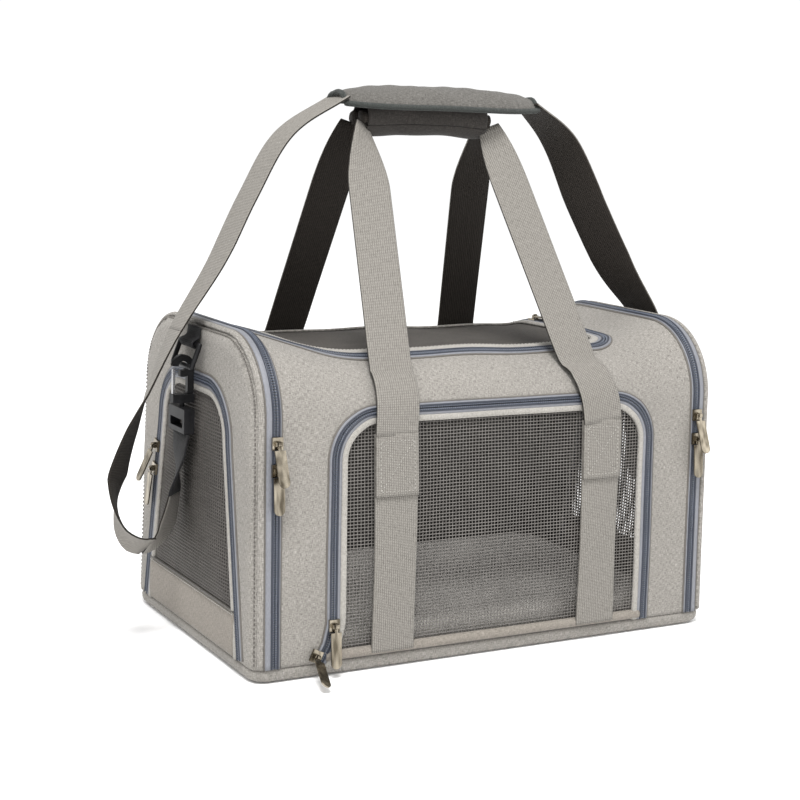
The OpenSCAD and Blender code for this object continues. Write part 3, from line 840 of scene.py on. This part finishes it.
def laid_webbing(name, x, low, high, lift, place, body):
    """Webbing laid on the cloth, with its ribs along it."""
    half = WEB_W / 2
    profile = [(-half, lift), (-half, lift + 0.0016), (-half * 0.9, lift + WEB_T), (0, lift + WEB_T * 1.1),
               (half * 0.9, lift + WEB_T), (half, lift + 0.0016), (half, lift)]
    piece = sweep(name, np.array([(x, low), (x, high)]), profile, place, WEB, step=0.003)
    on(body, "webbing", piece)
    return piece


def box_stitch(name, x, low, high, lift, place, body):
    """A square of stitches with a cross in it, where the handle is sewn on."""
    half = WEB_W / 2 - 0.004
    corners = [(x - half, low), (x + half, low), (x + half, high), (x - half, high)]
    lines = [(0, 1), (1, 2), (2, 3), (3, 0), (0, 2), (1, 3)]
    for number, (a, b) in enumerate(lines):
        stitches(f"{name}_{number}", np.array([corners[a], corners[b]]), 0.0, place, body, "webbing",
                 lift=lift, pitch=0.0032)


def mirrored_back(place):
    """The same lay on the back wall."""
    def lay(points, out):
        turned = place(points * np.array([-1, 1]), out)
        return turned * np.array([-1, -1, 1])
    return lay


back_tube = mirrored_back(tube)
SEAM_S = LEG_SEAM - BASE_R
for wall_name, place, body, node in (("front", tube, "front_door", "front_webbing"),
                                     ("back", back_tube, "carrier", "back_webbing")):
    for side_name, x in (("left", -LEG_HALF), ("right", LEG_HALF)):
        run = laid_webbing(f"{wall_name}_webbing_{side_name}", x, FOOT_S + 0.003, SEAM_S, WEB_LIFT,
                           place, body)
        lap_low = SEAM_S - 0.050
        laid_webbing(f"{wall_name}_lap_{side_name}", x, lap_low, SEAM_S, WEB_LIFT + WEB_T, place, body)
        box_stitch(f"{wall_name}_box_{side_name}", x, lap_low + 0.004, SEAM_S - 0.006,
                   WEB_LIFT + 2 * WEB_T, place, body)
        if side_name == "left":
            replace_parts(run, node)

# ---------- handles ----------
LEG_OUT = 0.0053
LEAVE_S = WALL_RUN + EDGE_LEN * 48 / 90   # a leg leaves the cloth 48 degrees round the edge
FREE_Z = 0.237                         # a leg's narrowing is counted from here up to the grip
LEG_LEAN = 0.25                        # share of the way sideways to the grip made on the cloth
GATHER_FROM, GATHER, LEG_TWIST = 0.72, 0.60, 0.7


def handle_leg(name, x_side, place_side, body, root):
    """A free leg: off the wall at the seam, over the rounded edge and up to the grip."""
    across_sign = x_side * place_side
    grip = np.array([place_side * GRIP_ENDS[x_side], -0.0100, GRIP_Z - 0.004])
    root_x = across_sign * LEG_HALF
    lean = LEG_LEAN * (grip[0] - root_x)
    climb = np.linspace(0, 1, 8)
    laid = np.stack([root_x + lean * climb ** 1.5, SEAM_S - 0.002 + (LEAVE_S - SEAM_S + 0.002) * climb], 1)
    lower = tube(laid, np.full(len(laid), LEG_OUT))
    leave = lower[-1]
    upper = [leave + (grip - leave) * t for t in (0.25, 0.5, 0.75, 0.93)] + [grip]
    path = smooth_path(np.vstack([lower, upper]), 0.005)
    share = np.clip((path[:, 2] - FREE_Z) / (GRIP_Z - FREE_Z), 0, 1)
    gather = np.clip((share - GATHER_FROM) / (1 - GATHER_FROM), 0, 1) ** 1.6
    width = WEB_W * (1 - GATHER * gather)
    angle = across_sign * LEG_TWIST * gather
    across = np.stack([np.cos(angle), -np.sin(angle), 0 * angle], 1)
    # the leg's second face is painted shade: the same grey webbing, coloured darker
    leg = ribbon(name, path, across, width, WEB_T, WEB, under=SHADE_WEB)
    if place_side < 0:
        leg.data.transform(Matrix.Diagonal((-1, -1, 1, 1)))
    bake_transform(leg)


def bunch(name, y_side, body):
    """Both layers of webbing rolled together inside the grip."""
    count, around, radius = 60, 20, 0.0058
    xs = np.linspace(GRIP_ENDS[-1], GRIP_ENDS[1], count)
    angles = np.linspace(0, 2 * math.pi, around, endpoint=False)
    rings, weave = [], []
    for x in xs:
        wave = 1 + 0.10 * np.sin(3 * angles + 20 * x) + 0.05 * np.sin(5 * angles - 31 * x)
        rings.append(np.stack([np.full(around, x), y_side * (0.0075 - radius * wave * np.cos(angles)),
                               GRIP_Z + radius * wave * np.sin(angles)], 1))
        weave.append(np.stack([angles * 0.006, np.full(around, x)], 1))
    # the roll is coloured all over with the painted-shade webbing, for the shadow inside the grip
    piece = loft(name, np.stack(rings), SHADE_WEB, np.stack(weave))
    on(body, "webbing", piece)
    return piece


for handle, place_side, root in (("front_handle", 1, "front_door"), ("back_handle", -1, "carrier")):
    for side_name, x_side in (("left", -1), ("right", 1)):
        handle_leg(f"{handle}_leg_{side_name}", x_side, place_side, handle, root)
    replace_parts(bunch(f"{handle}_roll", -place_side, handle), handle)

# ---------- grip wrap and shoulder pad ----------


def barrel(name, start_angle, end_angle, body):
    """A padded sleeve or flap round the grip between two angles (0 points to the back, 90 up)."""
    middle = (GRIP_ENDS[-1] + GRIP_ENDS[1]) / 2
    half, outer, wall = (GRIP_ENDS[1] - GRIP_ENDS[-1]) / 2 - 0.004, 0.016, 0.0030
    xs = np.linspace(-half, half, 64)
    angles = np.radians(np.linspace(start_angle, end_angle, 40))
    rings, weave = [], []
    for x in xs:
        end = (abs(x) / half) ** 10
        shape = []
        for a in angles:
            crease = 0.0004 * math.sin(60 * x + 2 * a) + 0.0003 * math.sin(140 * x - 5 * a)
            shape.append(((outer - 0.0014 * end + crease), a))
        for a in angles[::-1]:
            shape.append((outer - wall + 0.0010 * end, a))
        bow = 0.003 * (1 - (x / half) ** 2)
        rings.append([(middle + x, r * math.cos(a), GRIP_Z + bow + r * math.sin(a)) for r, a in shape])
        weave.append([(r * a, x) for r, a in shape])
    piece = loft(name, np.array(rings), WRAP, np.array(weave))
    on(body, "pad_fabric", piece)
    return piece


MOUTH_LOW, MOUTH_HIGH = 206, 130
sleeve = barrel("grip_sleeve", MOUTH_LOW - 360, MOUTH_HIGH, "back_handle")
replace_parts(sleeve, "grip_wrap")
flap = barrel("grip_flap", MOUTH_HIGH + 2, MOUTH_LOW - 2, "front_handle")


PAD_BACK, PAD_LIFT = 0.008, 0.0095     # the pad lies further left, and higher over its plump grip


def cord(name, path, radius, material):
    """A round cord along a path in space."""
    ahead = directions(path)
    out = np.cross(ahead, (0, 0, 1))
    out /= np.linalg.norm(out, axis=1)[:, None]
    up = np.cross(out, ahead)
    angles = np.linspace(0, 2 * math.pi, 12, endpoint=False)
    rings = [path + radius * (math.cos(a) * out + math.sin(a) * up) for a in angles]
    weave = [np.stack([np.full(len(path), radius * a), runs(path)], 1) for a in angles]
    return loft(name, np.stack(rings, 1), material, np.stack(weave, 1))


def shoulder_pad():
    """A pad lying over the grip, its bound edges drooping round it and its ends drawn in."""
    low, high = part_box("shoulder_pad")
    middle, half = (low[0] + high[0]) / 2 - PAD_BACK, (high[0] - low[0]) / 2
    count = 25
    last = count - 1
    across = np.linspace(-1, 1, count)
    rings, weave = [], []
    for u in np.linspace(-1, 1, 72):
        taper = 1 - 0.42 * abs(u) ** 4
        thick = 0.0062 * (1 - 0.75 * abs(u) ** 6)
        top, under = [], []
        for v in across:
            droop = 0.012 * abs(v) ** 2.4 * (1.15 if v < 0 else 0.85) * taper
            edge = max(0.0, 1 - abs(v) ** 6) ** 0.5
            wrinkle = 0.0005 * math.sin(9 * u + 5 * v) + 0.0003 * math.sin(23 * u - 8 * v)
            crown = low[2] + PAD_LIFT - droop + 0.003 * (1 - u * u)
            top.append((v * 0.0275 * taper, crown + thick * (0.35 + 0.65 * edge) + wrinkle * edge))
            under.append((v * 0.027 * taper, crown - thick * 0.25 * edge))
        shape = top + under[::-1]
        rings.append([(middle + u * half, y, z) for y, z in shape])
        around = np.concatenate([across, across[::-1]]) * 0.03
        weave.append(np.stack([around, np.full(2 * count, u * half)], 1))
    rings = np.array(rings)
    pad = loft("shoulder_pad_cushion", rings, DARK_PAD, np.array(weave))
    modify(pad, "SUBSURF", levels=1, render_levels=1)
    edge = np.vstack([rings[:, 0], rings[-1, 1:last], rings[::-1, last], rings[0, last - 1:0:-1],
                      rings[:2, 0]])
    rim = cord("shoulder_pad_rim", smooth_path(edge, 0.003), 0.0024, PAD_RIM)
    on("back_handle", "pad_fabric", pad, rim)
    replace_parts(pad, "shoulder_pad")


shoulder_pad()

# ---------- top door ----------
top_edge = top_outline()
LID_SAG = 0.004


def lid_sag(points):
    """The loose net sinks a little between its edges."""
    return swell(points, top_outline(-0.004), -LID_SAG, 0.03)


top_net = net("top_net", top_outline(-NET_EDGE), raised(tube, -0.0010), TOP_NET, (0.0024, 0.0024), 0.0015,
              lift=lid_sag)
on("top_door", "mesh", top_net)
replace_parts(top_net, "top_mesh")
top_binding = edging("top_binding_strip", top_edge, 0.0058, 0.0125, 0.0016, tube, BINDING,
                     "top_door")
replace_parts(top_binding, "top_binding")
half_zip("top_zip_inner", top_edge, 1, tube, "top_door", tape_w=0.006)
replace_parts(half_zip("top_zip_outer", top_edge, -1, tube, "carrier")[0], "top_track")
stitches("top_binding_stitch", top_edge, 0.0115, tube, "top_door", lift=0.0014)
hinge_s = float(top_s(TOP_BACK))
hinge_line = np.array([(-TOP_LEFT, hinge_s - 0.005), (TOP_RIGHT, hinge_s - 0.005)])
edging("top_hinge_band", hinge_line, -0.004, 0.007, 0.0014, tube, GREY, "top_door")

# ---------- padded ends ----------
RIM_OUT = HALF_L - SHOULDER - (TUBE_HALF + SEAM_GAP)
BAND_H = 0.036                         # the band of cloth at the foot of an end door
BAND_TOP = END_LOW + BAND_H
END_BULGE = 0.0035


def end_sheet_outline():
    """The end's flat cloth: the section grown by the rim, cut off level above the base."""
    path = even(SECTION, 0.003)
    outward = -to_right(path)
    grown = path + outward * RIM_OUT
    kept = grown[grown[:, 1] > BASE_TOP + 0.0006]
    left_foot = np.array([kept[0][0], BASE_TOP + 0.0005])
    right_foot = np.array([kept[-1][0], BASE_TOP + 0.0005])
    return np.vstack([left_foot, kept, right_foot])


def end_net_outline(shrink):
    """The end door's net, from its binding down to its band of cloth."""
    outline = even(end_outline(-shrink), 0.003)
    return outline[outline[:, 1] > BAND_TOP - 0.004 + shrink - NET_EDGE]


def bulge(points):
    """The end's net swells outwards, most in its middle."""
    return swell(points, end_net_outline(0.010), END_BULGE, 0.022)


def end_pieces(side):
    """Everything sewn on one padded end, made on the right."""
    body, door = f"{side}_end", f"{side}_door"
    door_path = end_outline()
    hole = end_outline(SEAM_GAP / 2)
    panel = cloth(f"{side}_end_cloth", end_sheet_outline(), [hole], end_cap, GREY, 0.0032, inner=LINING)
    on(body, "fabric_grey", panel)
    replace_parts(panel, f"{side}_panel")
    ring = end_sheet_outline()[1:-1]
    made = [
        panel,
        piping(f"{side}_end_piping", ring, RIM_OUT + 0.002, 0.0016, end_cap, GREY, body, lift=0.0004),
        stitches(f"{side}_end_stitch", ring, RIM_OUT + 0.0052, end_cap, body, material=DARK_THREAD),
        net(f"{side}_end_net", end_net_outline(NET_EDGE), raised(end_cap, -0.0015), END_NET,
            (0.0036, 0.0028), 0.0021, lift=bulge),
    ]
    on(door, "mesh", made[-1])
    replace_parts(made[-1], f"{side}_mesh")
    made.append(edging(f"{side}_door_edging", door_path, 0.0058, 0.0108, 0.0018, end_cap, BINDING, door))
    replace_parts(made[-1], f"{side}_binding")
    middle, half = END_LOW + BAND_H / 2, BAND_H / 2
    band_path = np.array([(-END_FOOT + 0.0115, middle), (END_FOOT - 0.0115, middle)])
    made += [
        edging(f"{side}_door_band", band_path, -half, half, 0.0024, end_cap, GUSSET, door),
        piping(f"{side}_band_piping", band_path, -half, 0.0009, end_cap, DARK_PAD, door, lift=0.0014),
        stitches(f"{side}_band_stitch", band_path, 0.002 - half, end_cap, door, lift=0.0024),
    ]
    made += half_zip(f"{side}_door_zip_inner", door_path, 1, end_cap, door, tape_w=0.006)
    outer_half = half_zip(f"{side}_door_zip_outer", door_path, -1, end_cap, body)
    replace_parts(outer_half[0], f"{side}_door_track")
    return made + outer_half


def mirror_pieces(pieces):
    """Turns pieces made for the right into ones for the left."""
    for piece in pieces:
        piece.data.transform(Matrix.Diagonal((-1, 1, 1, 1)))
        piece.data.flip_normals()


end_pieces("right")
mirror_pieces(end_pieces("left"))

# ---------- straps, tabs and hooks ----------
RING_X, RING_Z = HALF_L + 0.005, 0.252
HOOK_X = RING_X + 0.019 * math.sin(math.radians(20))
LEFT_RUN = [(0.096, 0.453), (0.146, 0.421), (0.177, 0.370), (0.204, 0.316), (0.238, 0.262), (0.260, 0.214),
            (0.279, 0.168), (0.287, 0.136), (0.284, 0.108), (0.272, 0.090), (0.257, 0.085), (0.245, 0.096),
            (0.238, 0.120), (0.234, 0.150), (HOOK_X, 0.179)]
RIGHT_RUN = [(0.088, 0.453), (0.126, 0.420), (0.160, 0.362), (0.196, 0.306), (0.232, 0.262), (0.250, 0.222),
             (0.262, 0.180), (0.266, 0.146), (0.264, 0.118), (0.256, 0.100), (0.246, 0.100), (0.238, 0.114),
             (0.236, 0.132), (0.233, 0.152), (HOOK_X, 0.179)]
LEFT_TURNS = [(0.00, 0), (0.16, 0), (0.24, 8), (0.30, 20), (0.33, 34), (0.37, 44), (0.41, 6), (0.435, -30),
              (0.47, -42), (0.50, -34), (0.53, -8), (0.56, 0)]
RIGHT_TURNS = [(0, 0), (0.05, 22), (0.10, 34), (0.17, 34), (0.22, 16), (0.27, 0)]


def shoulder_strap(side_name, side, run, turns):
    """The strap in four lengths that meet where each body takes over."""
    whole = smooth_path([(side * x, 0.0, z) for x, z in run], 0.004)
    distance, degrees = np.array(turns).T
    turn = -side * np.radians(np.interp(runs(whole), distance, degrees))
    low = int(whole[:, 2].argmin())
    leaves = int(np.abs(whole[:low, 2] - 0.262).argmin())
    shaded_tail_start = low + int(np.abs(whole[low:, 2] - 0.128).argmin())
    # the grey strap's second face is painted shade, and its tail by the hook is coloured black all round as
    # painted shade of its twisted end
    spans = [
        ("upper", 0, leaves, "back_handle", "carrier", WEB),
        ("outer", leaves, low, "carrier", f"{side_name}_end", WEB),
        ("inner", low, shaded_tail_start, f"{side_name}_end", f"{side_name}_ring", WEB),
        ("tail", shaded_tail_start, len(whole) - 1, f"{side_name}_ring", f"{side_name}_hook", BLACK_WEB),
    ]
    for part, first, last, body_a, body_b, material in spans:
        path = whole[first:last + 1]
        piece = ribbon(f"strap_{side_name}_{part}", path, (0, -side, 0), WEB_W, WEB_T, material,
                       under=SHADE_WEB if material is WEB else None, turn=turn[first:last + 1])
        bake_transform(piece)
        if part == "upper":
            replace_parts(piece, f"strap_{side_name}")


def ring_tab(side_name, side):
    """Black webbing folded round the ring's bar and sewn to the end."""
    bar = arc((RING_X, RING_Z), 0.0034, 90, -150, 12)
    points = [(HALF_L + 0.0012, RING_Z + 0.013), (HALF_L + 0.0022, RING_Z + 0.006), *bar,
              (HALF_L + 0.0012, RING_Z - 0.003)]
    path = smooth_path([(side * x, 0.0, z) for x, z in points], 0.0012)
    piece = ribbon(f"{side_name}_ring_loop", path, (0, 1, 0), 0.027, 0.0014, BLACK_WEB, scallop=0.0002)
    on(f"{side_name}_end", "black_webbing", piece)
    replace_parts(piece, f"{side_name}_tab")


for side_name, side, run, turns in (("left", -1, LEFT_RUN, LEFT_TURNS), ("right", 1, RIGHT_RUN, RIGHT_TURNS)):
    shoulder_strap(side_name, side, run, turns)
    ring_tab(side_name, side)

# ---------- floor mat ----------


def floor_mat():
    """A soft plump mat with a rolled edge."""
    low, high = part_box("floor_mat")
    half_x, half_y, top = high[0], high[1], high[2] + 0.009
    middle, thick = (low[2] + top) / 2, (top - low[2]) / 2
    rings = []
    for t in np.linspace(-1, 1, 9):
        inset = 0.010 * (1 - math.sqrt(max(0.0, 1 - t * t)))
        loop = rounded_box(half_x - inset, half_y - inset, 0.02)
        rings.append([(x, y, middle + thick * t) for x, y in loop])
    rings = np.array(rings)
    mat = loft("floor_cushion", rings, FLEECE, rings[..., :2].copy())
    on("carrier", "mat_fabric", mat)
    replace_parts(mat, "floor_mat")


floor_mat()

# ---------- CAD parts that keep their shape ----------
dress("base_board", BOARD)
dress("wire_hoops", STEEL)
for side_name in ("left", "right"):
    dress(f"{side_name}_ring", PLASTIC)
    dress(f"{side_name}_hook", PLASTIC, 0.0006)
    dress(f"{side_name}_gate", STEEL, 0.0003)
    dress(f"{side_name}_swivel", PLASTIC, 0.0008)
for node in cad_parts:
    if "slider" in node or "pull" in node:
        dress(node, NICKEL, 0.00035)

# ---------- floor and lights ----------


def stage():
    """A wide white floor, an even white sky and two soft lights."""
    n = Nodes("studio_floor")
    n.surface({"Base Color": (0.97, 0.97, 0.97, 1), "Roughness": 0.9})
    reach = 6.0
    corners = [(-reach, -reach, 0), (reach, -reach, 0), (reach, reach, 0), (-reach, reach, 0)]
    floor = new_piece("studio_ground", corners, [(0, 1, 2, 3)], n.material)
    world = bpy.data.worlds.new("studio")
    world.use_nodes = True
    sky = world.node_tree.nodes["Background"].inputs
    sky["Color"].default_value = (1, 1, 1, 1)
    sky["Strength"].default_value = 1.04
    bpy.context.scene.world = world
    bpy.context.scene.view_settings.view_transform = "Standard"
    lights = [("key", (-0.8, -1.3, 2.9), 105, 1.0), ("fill", (1.8, -1.9, 1.2), 8, 1.6)]
    for name, place, power, size in lights:
        data = bpy.data.lights.new(name, "AREA")
        data.energy = power
        data.size = size
        light = bpy.data.objects.new(name, data)
        light.location = place
        aim = Vector((0, 0, 0.18)) - Vector(place)
        light.rotation_euler = aim.to_track_quat("-Z", "Y").to_euler()
        bpy.context.scene.collection.objects.link(light)


stage()
